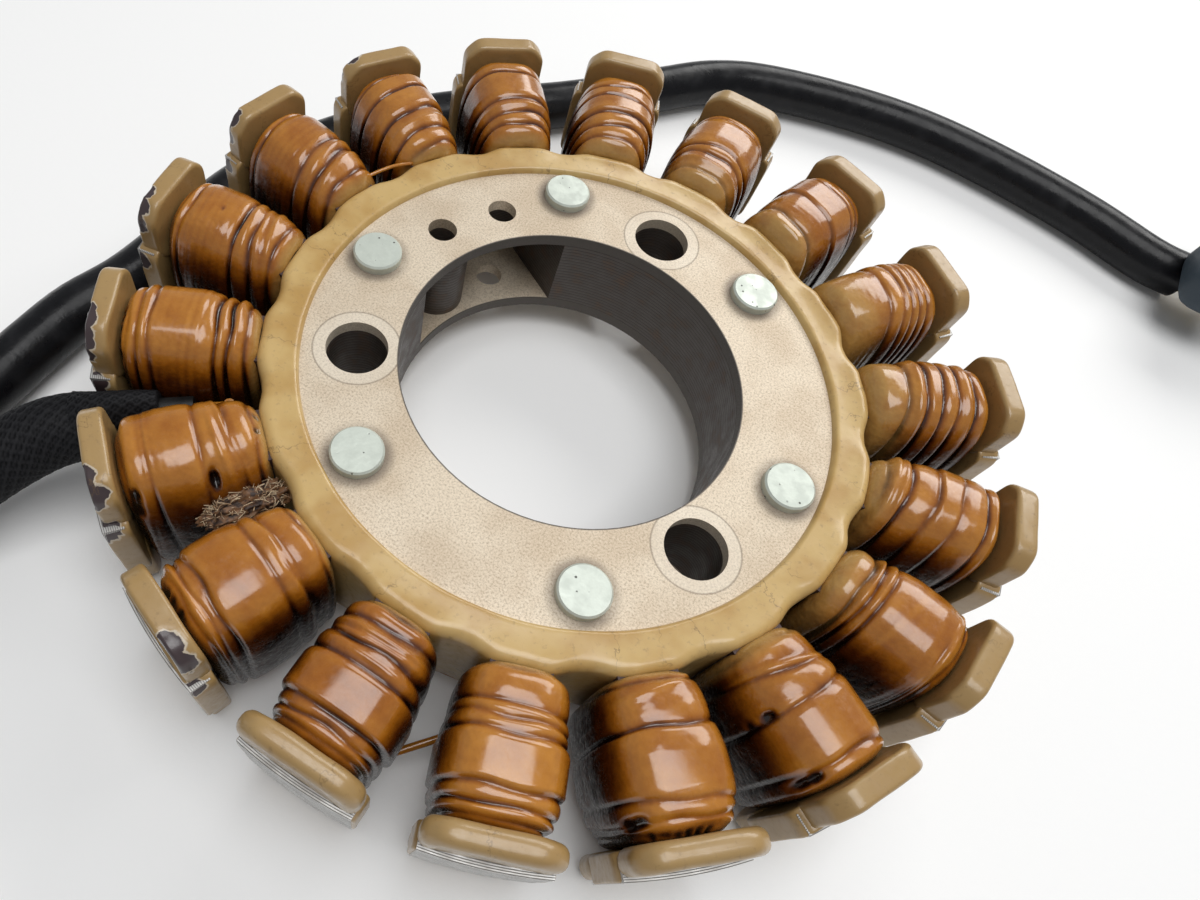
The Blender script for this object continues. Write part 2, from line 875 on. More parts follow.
@dataclass(frozen=True)
class Studio:
    """White table top, soft lamps and a pale room."""

    floor_size: float = 3.0
    floor_drop: float = 0.0001
    floor_tone: Colour = (0.89, 0.89, 0.885)
    floor_lift: float = 0.03
    room_tone: Colour = (0.93, 0.96, 1.0)
    room_strength: float = 0.2
    room_seen: float = 0.36
    lamps: tuple[SoftLamp, ...] = (
        SoftLamp("ceiling_panel", (0.06, -0.02, 0.62), (0.40, 0.46), 4.6),
        SoftLamp("window", (0.10, 0.60, 0.42), (0.55, 0.35), 4.6, (1.0, 0.99, 0.97)),
    )

    def floor(self) -> bpy.types.Object:
        """Lay the table top.

        Returns:
            The table top.
        """
        deselect_all()
        bpy.ops.mesh.primitive_plane_add(size=self.floor_size, location=(0, 0, -self.floor_drop))
        floor = bpy.context.object
        floor.name = "table_top"
        settle(floor)
        b = Bench("white_table")
        tooth = b.noise(1.2, 3)
        light_path = b.tree.nodes.new("ShaderNodeLightPath")
        camera_ray = light_path.outputs["Is Camera Ray"]
        seen = b.math("ADD", camera_ray, light_path.outputs["Is Glossy Ray"], clamp=True)
        dress(floor, b.finish(
            Base_Color=self.floor_tone, Roughness=0.7, Normal=b.bump(tooth, 0.02),
            Emission_Color=self.floor_tone, Emission_Strength=b.math("MULTIPLY", seen, self.floor_lift),
        ))
        return floor

    def make(self) -> None:
        """Lay the floor, hang the lamps and light the room."""
        scene = bpy.context.scene
        scene.view_settings.view_transform = "Standard"
        self.floor()
        for lamp in self.lamps:
            lamp.make()
        world = bpy.data.worlds.new("pale_room")
        world.use_nodes = True
        background = world.node_tree.nodes["Background"]
        background.inputs["Color"].default_value = (*self.room_tone, 1.0)
        light_path = world.node_tree.nodes.new("ShaderNodeLightPath")
        strength = world.node_tree.nodes.new("ShaderNodeMath")
        strength.operation = "MULTIPLY_ADD"
        strength.inputs[1].default_value = self.room_seen - self.room_strength
        strength.inputs[2].default_value = self.room_strength
        seen = world.node_tree.nodes.new("ShaderNodeMath")
        seen.operation = "MAXIMUM"
        links = world.node_tree.links
        links.new(light_path.outputs["Is Camera Ray"], seen.inputs[0])
        links.new(light_path.outputs["Is Glossy Ray"], seen.inputs[1])
        links.new(seen.outputs[0], strength.inputs[0])
        links.new(strength.outputs[0], background.inputs["Strength"])
        scene.world = world


# Harness


SLEEVE_REST = 3.9
TUBE_REST = 3.6
COLLAR_REST = 4.7
SLEEVE_ROUTE: tuple[Point, ...] = (
    (-40.03, -33.59, 11.8), (-42.8, -36.9, 11.3), (-45.6, -42.2, 9.8),
    (-48.2, -48.2, 7.2), (-50.0, -54.4, 4.8), (-49.8, -60.5, SLEEVE_REST),
    (-46.5, -67, SLEEVE_REST), (-42.5, -74, SLEEVE_REST), (-39.8, -82, SLEEVE_REST),
    (-39.5, -90, SLEEVE_REST), (-42, -98, SLEEVE_REST), (-47, -104.5, SLEEVE_REST),
    (-54, -109, SLEEVE_REST), (-62, -111, SLEEVE_REST), (-70.5, -110, SLEEVE_REST),
    (-78.5, -106, SLEEVE_REST), (-84.5, -100, SLEEVE_REST), (-88, -92, SLEEVE_REST),
    (-88.8, -84, SLEEVE_REST), (-86.8, -75.5, SLEEVE_REST), (-82, -67.5, COLLAR_REST),
    (-76, -64, COLLAR_REST),
)
TUBE_ROUTE: tuple[Point, ...] = (
    (-76, -64, COLLAR_REST), (-70, -60.5, COLLAR_REST), (-63.8, -54.5, TUBE_REST),
    (-59.6, -46, TUBE_REST), (-57.8, -36, TUBE_REST), (-57.8, -27, TUBE_REST),
    (-57.6, -20, TUBE_REST), (-56, -12.5, TUBE_REST), (-55.6, -3, TUBE_REST),
    (-55.6, 7, TUBE_REST), (-53.6, 17.5, TUBE_REST), (-49.6, 27.5, TUBE_REST),
    (-43, 38, TUBE_REST), (-35.5, 47, TUBE_REST), (-28.5, 54.5, TUBE_REST),
    (-22, 62.5, TUBE_REST), (-16.5, 70, TUBE_REST), (-10.5, 77.5, TUBE_REST),
    (-2.9, 83, TUBE_REST), (10.7, 88.4, TUBE_REST), (25, 91.6, TUBE_REST),
    (39.9, 91.8, TUBE_REST), (54.5, 90.2, TUBE_REST), (66, 87.5, TUBE_REST),
    (72, 87.5, TUBE_REST),
)


def flowing(route: Sequence[Point], per_span: int) -> np.ndarray:
    """Return points on a smooth curve through a route's points.

    Args:
        route: Points in millimetres.
        per_span: Number of steps between two points.

    Returns:
        Array of points in millimetres.
    """
    knots = np.array(route, float)
    padded = np.vstack([2 * knots[0] - knots[1], knots, 2 * knots[-1] - knots[-2]])
    steps = np.linspace(0, 1, per_span, endpoint=False)[:, None]
    spans = []
    for k in range(len(knots) - 1):
        a, b, c, d = padded[k : k + 4]
        bend = 2 * b + (c - a) * steps + (2 * a - 5 * b + 4 * c - d) * steps**2
        spans.append(0.5 * (bend + (3 * b - a - 3 * c + d) * steps**3))
    return np.vstack([*spans, knots[-1:]])


def even_steps(path: np.ndarray, count: int) -> np.ndarray:
    """Return a path's points spread evenly along its length.

    Args:
        path: Points of the path.
        count: Number of points wanted.

    Returns:
        Array of points.
    """
    lengths = np.concatenate([[0], np.cumsum(np.linalg.norm(np.diff(path, axis=0), axis=1))])
    at = np.linspace(0, lengths[-1], count)
    return np.stack([np.interp(at, lengths, path[:, k]) for k in range(3)], 1)


def path_length(path: np.ndarray) -> float:
    """Return a path's length in millimetres."""
    return float(np.linalg.norm(np.diff(path, axis=0), axis=1).sum())


def path_frames(path: np.ndarray) -> tuple[np.ndarray, np.ndarray]:
    """Return the level side and the upward direction at each point of a path.

    Args:
        path: Points of the path.

    Returns:
        Two arrays of directions of length 1.
    """
    ahead = np.gradient(path, axis=0)
    ahead /= np.linalg.norm(ahead, axis=1)[:, None]
    side = np.cross(ahead, (0.0, 0.0, 1.0))
    side /= np.linalg.norm(side, axis=1)[:, None]
    return side, np.cross(side, ahead)


def swept(
    name: str, route: Sequence[Point], radius: float, sides: int = 12, per_span: int = 6
) -> bpy.types.Object:
    """Sweep a round wire along a route.

    Args:
        name: Name of the wire.
        route: Points in millimetres.
        radius: Radius of the wire.
        sides: Number of points round it.
        per_span: Number of steps between two points.

    Returns:
        The wire.
    """
    path = flowing(route, per_span)
    side, up = path_frames(path)
    around = np.linspace(0, 2 * math.pi, sides + 1)[None, :, None]
    ring = radius * (np.cos(around) * side[:, None] + np.sin(around) * up[:, None])
    ends = [np.repeat(path[k][None, None], sides + 1, 1) for k in (0, -1)]
    return grid_surface(name, np.concatenate([ends[0], path[:, None] + ring, ends[1]]))


@dataclass
class Harness:
    """Braided sleeve, collar, smooth tube and connector."""

    palette: Palette
    sleeve_d: float = 7.6
    tube_d: float = 7.0
    strands: int = 36
    braid_pitch: float = 26.0
    braid_relief: float = 0.22
    rings: int = 820
    ring_points: int = 90
    mouth_rings: int = 70
    mouth_from: float = 44.5
    mouth_to: float = 53.4
    mouth_half: tuple[float, float] = (2.2, 5.2)
    boot_middle: Point = (74.9, 82.6, 9.0)
    boot_size: Point = (11.0, 12.4, 8.0)
    boot_round: float = 3.2
    housing_round: float = 0.7
    round_steps: int = 5
    sharp_angle: float = 40.0
    housing_weld: float = 1e-6
    span_steps: int = 12
    tube_span_steps: int = 10
    tube_points: int = 160
    tube_sides: int = 12
    end_shrink: float = 0.06
    end_length: float = 1.5

    def woven(self, name: str, path: np.ndarray, half_w: np.ndarray, half_h: np.ndarray) -> bpy.types.Object:
        """Weave a sleeve of two sets of strands that pass over and under each other.

        Args:
            name: Name of the piece.
            path: Points along its middle, in millimetres.
            half_w: Half its width at each point.
            half_h: Half its height at each point.

        Returns:
            The sleeve.
        """
        side, up = path_frames(path)
        along = np.linspace(0, path_length(path), len(path))[:, None]
        around = np.linspace(0, 2 * math.pi, self.ring_points + 1)[None, :]
        turn = 2 * math.pi * along / self.braid_pitch
        right = np.cos(self.strands * (around + turn) / 2)
        left = np.cos(self.strands * (around - turn) / 2)
        over = np.cos(self.strands * around / 2) * np.cos(self.strands * turn / 2)
        crown = np.where(over > 0, np.abs(right), np.abs(left)) ** 0.7
        ends = np.minimum(along, along[-1] - along)
        shrink = 1 - self.end_shrink * np.exp(-ends / self.end_length)
        wide = ((half_w[:, None] - self.braid_relief * (1 - crown)) * shrink * np.cos(around))[..., None]
        high = ((half_h[:, None] - self.braid_relief * (1 - crown)) * shrink * np.sin(around))[..., None]
        points = path[:, None] + wide * side[:, None] + high * up[:, None]
        caps = [np.repeat(path[k][None, None], self.ring_points + 1, 1) for k in (0, -1)]
        crown = np.concatenate([crown[:1] * 0, crown, crown[:1] * 0])
        sleeve = grid_surface(name, np.concatenate([caps[0], points, caps[1]]), {"crown": crown})
        dress(sleeve, self.palette.braid)
        return sleeve

    def braided_sleeve(self) -> bpy.types.Object:
        """Lay the braided sleeve from the exit slot to the collar.

        Returns:
            The sleeve.
        """
        path = even_steps(flowing(SLEEVE_ROUTE, self.span_steps), self.rings)
        half = np.full(self.rings, self.sleeve_d / 2)
        sleeve = self.woven("braided_sleeve_dressed", path, half, half)
        seat(sleeve, Slot.BRAID, "braided_sleeve")
        return sleeve

    def sleeve_mouth(self) -> bpy.types.Object:
        """Squeeze the sleeve's mouth into the slot, round the joints of the leads.

        Returns:
            The mouth.
        """
        share = np.linspace(0, 1, self.mouth_rings)
        reach = self.mouth_from + (self.mouth_to - self.mouth_from) * share
        turn = math.radians(CORE.first_angle - CORE.pitch / 2)
        height = np.full(self.mouth_rings, SLEEVE_ROUTE[0][2])
        path = np.stack([reach * math.cos(turn), reach * math.sin(turn), height], 1)
        ease = share**3
        half_w = self.mouth_half[0] * (1 - ease) + self.sleeve_d / 2 * ease
        half_h = self.mouth_half[1] * (1 - ease) + self.sleeve_d / 2 * ease
        return seat(self.woven("sleeve_mouth", path, half_w, half_h), Slot.BRAID)

    def smooth_tube(self) -> bpy.types.Object:
        """Lay the smooth tube as a curve with a round section.

        Returns:
            The tube.
        """
        path = even_steps(flowing(TUBE_ROUTE, self.tube_span_steps), self.tube_points)
        data = bpy.data.curves.new("lead_tube_dressed", "CURVE")
        data.dimensions = "3D"
        spline = data.splines.new("POLY")
        spline.points.add(len(path) - 1)
        for point, place in zip(spline.points, path * MM):
            point.co = (*place, 1.0)
        data.bevel_depth = self.tube_d / 2 * MM
        data.bevel_resolution = self.tube_sides
        data.use_fill_caps = True
        spline.use_smooth = True
        tube = bpy.data.objects.new("lead_tube_dressed", data)
        bpy.context.scene.collection.objects.link(tube)
        dress(tube, self.palette.tube)
        seat(tube, Slot.TUBE, "lead_tube")
        return tube

    def connector(self) -> bpy.types.Object:
        """Round the connector's edges and add the soft boot at its tongue.

        Returns:
            The housing with its boot.
        """
        node = frame["nodes"]["connector_housing"]
        body = node.copy()
        body.data = node.data.copy()
        body.parent = None
        body.matrix_world = node.matrix_world.copy()
        bpy.context.scene.collection.objects.link(body)
        settle(body)
        weld(body, self.housing_weld)
        deselect_all()
        bpy.ops.mesh.primitive_cube_add(size=1.0, location=Vector(self.boot_middle) * MM)
        boot = bpy.context.object
        boot.scale = Vector(self.boot_size) * MM
        settle(boot)
        for piece, width in ((body, self.housing_round), (boot, self.boot_round)):
            bevel = piece.modifiers.new("round", "BEVEL")
            bevel.width = width * MM
            bevel.segments = self.round_steps
            bevel.limit_method = "ANGLE"
            apply_modifiers(piece)
            smooth(piece, self.sharp_angle)
            dress(piece, self.palette.slate)
        return seat(join([body, boot], "connector_dressed"), Slot.SLATE, "connector_housing")

    def make(self) -> None:
        """Lay the cords and dress what is on them."""
        self.braided_sleeve()
        self.sleeve_mouth()
        self.connector()
        self.smooth_tube()
        nodes = frame["nodes"]
        dress(nodes["sleeve_collar"], self.palette.tube)
        dress(nodes["lead_wires"], self.palette.lead)
        dress(nodes["connector_leads"], self.palette.yellow)
        dress(nodes["connector_terminals"], self.palette.blade)


# Coils


@dataclass(frozen=True)
class Band:
    """One band of turns on a coil.

    Attributes:
        start: Place of its edge, as a share of the coil's length.
        level: How full it is, as a share of the full depth.
        groove: Depth of the groove at its edge, in millimetres.
        tilt: How far the edge leans from one side to the other, as a share of the length.
        soft: Width of the edge's slope, in millimetres.
    """

    start: float
    level: float
    groove: float = 0.12
    tilt: float = 0.0
    soft: float = 0.14


@dataclass(frozen=True)
class Strand:
    """A turn that lies across others: its place, lean, height, middle and reach over the top."""

    at: float
    tilt: float
    height: float = 0.22
    middle: float = 0.0
    reach: float = 1.1
    width: float = 0.42


@dataclass(frozen=True)
class Holes:
    """A row of open pinholes between two places across the top."""

    at: float
    first: float
    last: float
    count: int
    depth: float = 0.8
    width: float = 0.26


@dataclass(frozen=True)
class CoilPlan:
    """How one coil was wound, as the photo shows it."""

    bands: tuple[Band, ...]
    strands: tuple[Strand, ...] = ()
    holes: tuple[Holes, ...] = ()
    turns: tuple[float, float, float] = (0.0, 0.0, 0.0)
    climb: float = 0.05
    lift: float = 0.35
    square: float = 2.8
    tint: float = 0.0


COIL_PLANS: dict[int, CoilPlan] = {
    1: CoilPlan(
        (
            Band(0.07, 0.86), Band(0.24, 0.93, 0.1, -0.12), Band(0.45, 1.0, 0.1),
            Band(0.79, 0.93, 0.16), Band(0.95, 0.66, 0.2),
        ),
        (Strand(0.25, -0.16, 0.26), Strand(0.33, -0.1, 0.16, 0.3, 0.8), Strand(0.79, 0.0, 0.16)),
        (Holes(0.40, 0.72, 0.8, 2, 1.0, 0.4), Holes(0.92, 0.75, 0.9, 2, 1.0, 0.4), Holes(0.03, -0.7, 0.1, 3)),
    ),
    2: CoilPlan(
        (
            Band(0.06, 0.84), Band(0.27, 0.94, 0.05), Band(0.39, 1.0, 0.06),
            Band(0.79, 0.86, 0.3), Band(0.87, 0.9, 0.26), Band(0.93, 0.72, 0.2),
        ),
        (Strand(0.27, 0.02, 0.18, 0.3, 0.6),),
        (Holes(0.985, -0.55, 0.25, 6, 0.9, 0.28), Holes(0.13, -1.02, -0.9, 3, 0.9, 0.4)),
        square=3.1,
    ),
    3: CoilPlan(
        (
            Band(0.05, 0.82), Band(0.17, 0.88, 0.1, -0.05), Band(0.33, 0.92, 0.2),
            Band(0.47, 1.0, 0.18), Band(0.79, 0.84, 0.34), Band(0.87, 0.78, 0.22),
            Band(0.94, 0.68, 0.16),
        ),
        (Strand(0.24, -0.02, 0.3), Strand(0.30, -0.05, 0.26), Strand(0.40, 0.03, 0.14)),
        square=3.3, tint=-0.12,
    ),
    4: CoilPlan(
        (
            Band(0.04, 0.9), Band(0.28, 0.95, 0.12, 0.02), Band(0.37, 0.95, 0.14, 0.02),
            Band(0.46, 1.0, 0.14), Band(0.78, 0.88, 0.18), Band(0.88, 0.84, 0.4),
            Band(0.955, 0.74, 0.42),
        ),
        (Strand(0.33, 0.03, 0.12), Strand(0.41, -0.02, 0.12)),
        square=3.4, tint=0.03,
    ),
    5: CoilPlan(
        (
            Band(0.07, 0.9, 0.16), Band(0.365, 1.0, 0.3, 0.0, 0.08), Band(0.8, 0.9, 0.1, 0.06),
            Band(0.9, 0.78, 0.16), Band(0.965, 0.66, 0.16),
        ),
        (Strand(0.12, -0.2, 0.2, 0.1, 1.0),),
        (Holes(0.985, -0.75, 0.3, 6, 0.8, 0.3), Holes(0.88, -1.0, -0.8, 3, 1.1, 0.45)),
        square=3.2,
    ),
    6: CoilPlan(
        (
            Band(0.05, 0.86), Band(0.27, 0.97, 0.1, 0.14), Band(0.47, 1.0, 0.12, -0.05),
            Band(0.87, 0.93, 0.1, 0.05),
        ),
        (Strand(0.24, 0.16, 0.3), Strand(0.46, 0.02, 0.14, -0.6, 0.6)),
        (Holes(0.46, -1.0, -0.75, 2, 0.9, 0.4), Holes(0.9, -1.0, -0.7, 3, 1.0, 0.4)),
        climb=0.1, lift=0.6,
    ),
    7: CoilPlan(
        (
            Band(0.2, 0.86, 0.4), Band(0.275, 0.92, 0.34), Band(0.36, 1.0, 0.26),
            Band(0.86, 0.94, 0.2), Band(0.93, 0.76, 0.2),
        ),
        (Strand(0.24, 0.03, 0.32), Strand(0.32, 0.03, 0.3), Strand(0.87, 0.0, 0.22), Strand(0.55, 0.16, 0.1)),
        climb=0.2, lift=0.9,
    ),
    8: CoilPlan(
        (
            Band(0.08, 0.86, 0.14, 0.08), Band(0.25, 0.96, 0.3, 0.1), Band(0.45, 1.0, 0.1, 0.1),
            Band(0.63, 1.0, 0.06, 0.1), Band(0.84, 0.96, 0.34), Band(0.95, 0.78, 0.2),
        ),
        (Strand(0.12, 0.12, 0.26), Strand(0.2, 0.1, 0.22), Strand(0.9, 0.02, 0.24)),
        climb=0.14, lift=0.8,
    ),
    9: CoilPlan(
        (
            Band(0.28, 1.0, 0.3, 0.08), Band(0.43, 1.0, 0.34, 0.1), Band(0.56, 0.97, 0.3, 0.1),
            Band(0.7, 0.95, 0.34, 0.1), Band(0.85, 0.85, 0.3, 0.06),
        ),
        (Strand(0.36, 0.1, 0.18), Strand(0.5, 0.1, 0.18), Strand(0.63, 0.1, 0.16), Strand(0.78, 0.08, 0.16)),
        climb=0.3, lift=0.9,
    ),
    10: CoilPlan(
        (
            Band(0.46, 1.0, 0.1, 0.1), Band(0.6, 1.0, 0.18, 0.12), Band(0.68, 0.97, 0.22, 0.12),
            Band(0.76, 0.94, 0.22, 0.1), Band(0.84, 0.9, 0.24, 0.08), Band(0.93, 0.78, 0.2),
        ),
        climb=0.36, lift=0.9,
    ),
    11: CoilPlan(
        (
            Band(0.2, 0.97, 0.2, 0.05), Band(0.5, 1.0, 0.05, 0.05), Band(0.8, 0.95, 0.16, 0.1),
            Band(0.9, 0.82, 0.2, 0.08),
        ),
        (Strand(0.7, 0.12, 0.12),),
        climb=0.24, lift=0.7,
    ),
    12: CoilPlan(
        (
            Band(0.12, 0.9, 0.2), Band(0.33, 0.97, 0.26), Band(0.43, 1.0, 0.42),
            Band(0.84, 0.94, 0.14), Band(0.93, 0.8, 0.16),
        ),
        (Strand(0.22, 0.03, 0.2),),
        climb=0.2, lift=0.5,
    ),
    13: CoilPlan(
        (
            Band(0.12, 0.88, 0.16), Band(0.26, 0.94, 0.3, -0.06), Band(0.41, 1.0, 0.36, -0.06),
            Band(0.62, 1.0, 0.16), Band(0.78, 0.96, 0.44, -0.04), Band(0.93, 0.84, 0.2),
        ),
        (Strand(0.5, -0.12, 0.24), Strand(0.7, -0.06, 0.2)),
        climb=0.1, lift=0.4,
    ),
    14: CoilPlan(
        (
            Band(0.16, 0.88, 0.3), Band(0.28, 0.95, 0.3, -0.05), Band(0.43, 1.0, 0.26, -0.05),
            Band(0.78, 0.94, 0.44), Band(0.95, 0.78, 0.2),
        ),
        (Strand(0.35, -0.06, 0.2),),
        climb=0.06,
    ),
    15: CoilPlan(
        (
            Band(0.06, 0.86, 0.2, -0.1), Band(0.22, 0.95, 0.34, -0.12), Band(0.43, 1.0, 0.4, -0.14),
            Band(0.7, 0.98, 0.34, -0.12), Band(0.9, 0.84, 0.3, -0.06),
        ),
        (Strand(0.3, -0.14, 0.16), Strand(0.55, -0.14, 0.18), Strand(0.8, -0.12, 0.16)),
    ),
    16: CoilPlan(
        (
            Band(0.1, 0.88, 0.16, -0.08), Band(0.3, 0.98, 0.16, -0.16), Band(0.45, 1.0, 0.1, -0.12),
            Band(0.88, 0.93, 0.26, -0.05), Band(0.955, 0.76, 0.16),
        ),
        (Strand(0.22, -0.2, 0.2), Strand(0.36, -0.2, 0.16), Strand(0.5, -0.2, 0.12)),
        turns=(0.45, 0.88, 0.025),
    ),
    17: CoilPlan(
        (
            Band(0.1, 0.86, 0.2), Band(0.3, 0.95, 0.16, -0.1), Band(0.42, 1.0, 0.5, -0.04),
            Band(0.86, 0.95, 0.26), Band(0.93, 0.84, 0.22), Band(0.97, 0.72, 0.1),
        ),
        (Strand(0.17, -0.16, 0.2), Strand(0.27, -0.16, 0.22), Strand(0.36, -0.1, 0.16)),
        (Holes(0.6, 0.0, 0.0, 1, 0.5, 0.2),),
        turns=(0.45, 0.85, 0.03),
    ),
    18: CoilPlan(
        (
            Band(0.08, 0.88, 0.2), Band(0.19, 0.9, 0.5, 0.03), Band(0.29, 1.0, 0.4, 0.02),
            Band(0.76, 0.98, 0.14), Band(0.85, 0.92, 0.22), Band(0.93, 0.82, 0.24),
            Band(0.975, 0.7, 0.14),
        ),
        (Strand(0.14, 0.02, 0.2), Strand(0.24, 0.03, 0.2), Strand(0.8, 0.0, 0.16)),
        (Holes(0.985, -0.1, 0.8, 6, 0.8, 0.28),),
        turns=(0.3, 0.77, 0.05),
    ),
}


@dataclass
class CoilMaker:
    """Winds the coils: bands of turns round each pole, dipped in varnish."""

    palette: Palette
    root_r: float = 34.3
    tip_r: float = 48.2
    hole_w: float = 6.54
    hole_h: float = 13.74
    build_root: float = 1.7
    build_full: float = 2.6
    end_ratio: float = 1.2
    build_under: float = 1.2
    full_at: float = 0.68
    tip_drop: float = 0.12
    turns: float = 15.5
    side_relief: float = 0.06
    rows: int = 112
    cols: int = 92
    roll: float = 0.15
    roll_most: float = 0.36
    sway: float = 0.05
    root_taper: float = 1.5
    root_close: float = 0.97
    tip_taper: float = 1.1
    tip_close: float = 0.75
    least: float = 0.1
    most: float = 1.06
    usual_side: float = 2.3
    usual_end: float = 2.8
    first_dip: float = 0.06
    groove_w: float = 0.15
    least_roll_w: float = 0.2
    face_shares: tuple[float, ...] = (0.0, 0.4, 0.75)
    cavity_blur: int = 50
    cavity_depth: float = 0.5
    seed: int = 4443

    @property
    def length(self) -> float:
        """Length of a coil along its pole."""
        return self.tip_r - self.root_r

    def section(self, square: float) -> tuple[np.ndarray, np.ndarray]:
        """Return the rounded section's points, evenly spaced, as shares of half width and half height.

        Args:
            square: How square the section is, with 2 for an ellipse.

        Returns:
            Two arrays.
        """
        fine = np.linspace(0, 2 * math.pi, 4001)
        power = 2 / square
        across = np.sign(np.cos(fine)) * np.abs(np.cos(fine)) ** power
        up = np.sign(np.sin(fine)) * np.abs(np.sin(fine)) ** power
        half_w = self.hole_w / 2 + self.usual_side
        half_h = self.hole_h / 2 + self.usual_end
        steps = np.hypot(np.diff(across) * half_w, np.diff(up) * half_h)
        run = np.concatenate([[0], np.cumsum(steps)])
        at = np.linspace(0, run[-1], self.cols + 1)
        return np.interp(at, run, across)[:-1], np.interp(at, run, up)[:-1]

    def depth(self, along: np.ndarray) -> np.ndarray:
        """Return the depth of wire on a pole's side at shares of its length.

        Args:
            along: Shares of the coil's length.

        Returns:
            Depth in millimetres.
        """
        rise = np.minimum(1, along / self.full_at)
        fall = np.maximum(0, (along - self.full_at) / (1 - self.full_at))
        gain = (self.build_full - self.build_root) * np.sin(rise * math.pi / 2)
        return self.build_root + gain - self.tip_drop * self.build_full * fall**2

    def banded(
        self, plan: CoilPlan, rng: np.random.Generator, along: np.ndarray, across: np.ndarray, up: np.ndarray
    ) -> np.ndarray:
        """Return the depth of wire with the plan's bands.

        Args:
            plan: How the coil was wound.
            rng: The coil's own random numbers.
            along: Shares of the coil's length, as a column.
            across: Place across the section, as a row.
            up: Place up the section, as a row.

        Returns:
            Depth in millimetres.
        """
        below = (1 - up) / 2
        before = plan.bands[0].level - self.first_dip
        level = np.full((along.size, across.size), before)
        relief = np.zeros_like(level)
        edge = along * self.length + 0 * across
        shoulder = 1 + 0.7 * np.clip((np.abs(across) - 0.7) / 0.3, 0, 1)
        for band in plan.bands:
            sway = rng.uniform(-0.09, 0.09) * below**2
            ripple = rng.uniform(-0.016, 0.016) * np.cos(5 * across + rng.uniform(0, 6))
            drift = sway + ripple
            far = (along - band.start - band.tilt / 2 * across - drift) * self.length
            relief += rng.uniform(0.4, 1.15) * self.rolled(edge, far)
            edge = far
            level += (band.level - before) / (1 + np.exp(-far / band.soft))
            shut = 0.55 + 0.45 * np.cos(3.1 * across * rng.uniform(0.6, 1.4) + rng.uniform(0, 6))
            cut = band.groove * (0.35 + 0.65 * shut) * shoulder
            relief -= cut * np.exp(-((far / self.groove_w) ** 2))
            before = band.level
        relief += self.rolled(edge, (along - 1) * self.length + 0 * across)
        return self.depth(along) * level + relief

    def rolled(self, start: np.ndarray, end: np.ndarray) -> np.ndarray:
        """Return how far a band bulges between its two edges, given the distances past each of them.

        Args:
            start: Distance past the first edge.
            end: Distance past the second edge.

        Returns:
            Bulge in millimetres.
        """
        width = np.maximum(start - end, self.least_roll_w)
        share = np.clip(start / width, 0, 1)
        return np.minimum(self.roll * width, self.roll_most) * (4 * share * (1 - share)) ** 0.8

    def crossed(self, plan: CoilPlan, along: np.ndarray, across: np.ndarray, up: np.ndarray) -> np.ndarray:
        """Return the relief of the plan's strands that lie across others.

        Args:
            plan: How the coil was wound.
            along: Shares of the coil's length, as a column.
            across: Place across the section, as a row.
            up: Place up the section, as a row.

        Returns:
            Relief in millimetres.
        """
        relief = np.zeros((along.size, across.size))
        for strand in plan.strands:
            line = strand.at + strand.tilt / 2 * across + 0.25 * strand.tilt * (1 - up)
            fade = np.clip(1 - (np.abs(across - strand.middle) / strand.reach) ** 4, 0, 1)
            fade = fade * np.clip(up + 0.8, 0, 1)
            far = (along - line) * self.length / strand.width
            relief += strand.height * fade * np.exp(-(far**2) * 1.6)
        return relief

    def turned(
        self, plan: CoilPlan, rng: np.random.Generator, along: np.ndarray, across: np.ndarray, up: np.ndarray
    ) -> np.ndarray:
        """Return the relief of single turns: clear on the walls, mostly drowned on top.

        Args:
            plan: How the coil was wound.
            rng: The coil's own random numbers.
            along: Shares of the coil's length, as a column.
            across: Place across the section, as a row.
            up: Place up the section, as a row.

        Returns:
            Relief in millimetres.
        """
        lean = rng.uniform(-0.05, 0.05)
        place = along + lean * across + rng.uniform(-0.06, 0.06) * up
        which = np.clip(np.floor(self.turns * place + 0.5).astype(int), 0, 31)
        crest = (np.abs(np.cos(math.pi * self.turns * place)) ** 0.7 - 0.6) * rng.uniform(0.1, 1.7, 32)[which]
        wall = np.clip((np.abs(across) - 0.9) / 0.09, 0, 1) + 0.6 * np.clip(-up - 0.6, 0, 0.4) / 0.4
        patch = 0.55 + 0.45 * np.cos(9 * along + rng.uniform(0, 6)) * np.cos(2.2 * up + rng.uniform(0, 6))
        first, last, clear = plan.turns
        fine = clear * ((along > first) & (along < last))
        return crest * (self.side_relief * np.clip(wall, 0, 1) * patch + fine + 0.012)

    def pierced(
        self, plan: CoilPlan, rng: np.random.Generator, along: np.ndarray, across: np.ndarray, up: np.ndarray
    ) -> np.ndarray:
        """Return the depth of the plan's pinholes.

        Args:
            plan: How the coil was wound.
            rng: The coil's own random numbers.
            along: Shares of the coil's length, as a column.
            across: Place across the section, as a row.
            up: Place up the section, as a row.

        Returns:
            Depth in millimetres.
        """
        depth = np.zeros((along.size, across.size))
        half = self.hole_w / 2 + self.build_full
        side = np.where(np.abs(across) > 0.93, (1 - up) * 4.0, 0.0) * np.sign(across)
        place = across * half + side
        for row in plan.holes:
            for k in range(row.count):
                share = k / max(1, row.count - 1)
                spot = (row.first + (row.last - row.first) * share) * half + rng.normal(0, 0.08)
                far = (along - row.at - rng.normal(0, 0.006)) * self.length
                near = np.exp(-((far / row.width) ** 2) - ((place - spot) / row.width) ** 2)
                depth += row.depth * rng.uniform(0.6, 1.0) * near * (up > 0)
        return depth

